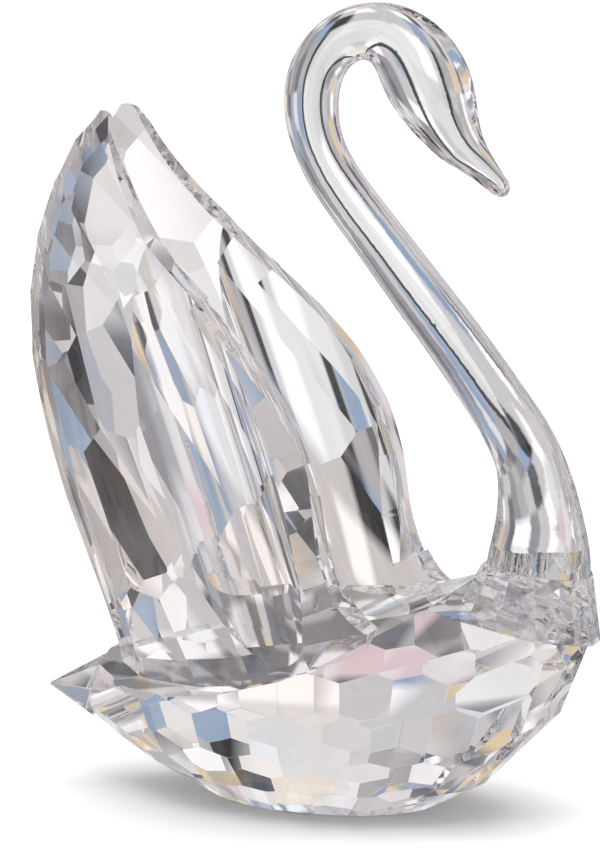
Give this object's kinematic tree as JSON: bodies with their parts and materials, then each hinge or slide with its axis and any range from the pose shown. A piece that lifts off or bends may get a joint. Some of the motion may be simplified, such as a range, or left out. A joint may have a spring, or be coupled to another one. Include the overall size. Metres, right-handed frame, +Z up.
{
  "type": "crystal swan figurine",
  "caption": "Clear cut-crystal swan with raised faceted wings and a smooth hooked neck, glued up from separate glass pieces and standing on a flat foot.",
  "frame": {"origin": "on the table plane at the middle of the flat foot under the body", "axes": "+X toward the breast and the bill, +Y the swan's left, +Z up"},
  "size_m": [0.0658, 0.0346, 0.0905],
  "materials": {
    "crystal": "clear lead-free cut crystal, polished facets",
    "clear_glue": "clear cured adhesive, a thin film"
  },
  "bodies": {
    "root": {"body": "crystal", "left_wing": "crystal", "right_wing": "crystal", "neck_and_head": "crystal", "tail_tip": "crystal", "left_wing_bond": "clear_glue", "right_wing_bond": "clear_glue", "neck_bond": "clear_glue", "tail_bond": "clear_glue"}
  },
  "joints": []
}
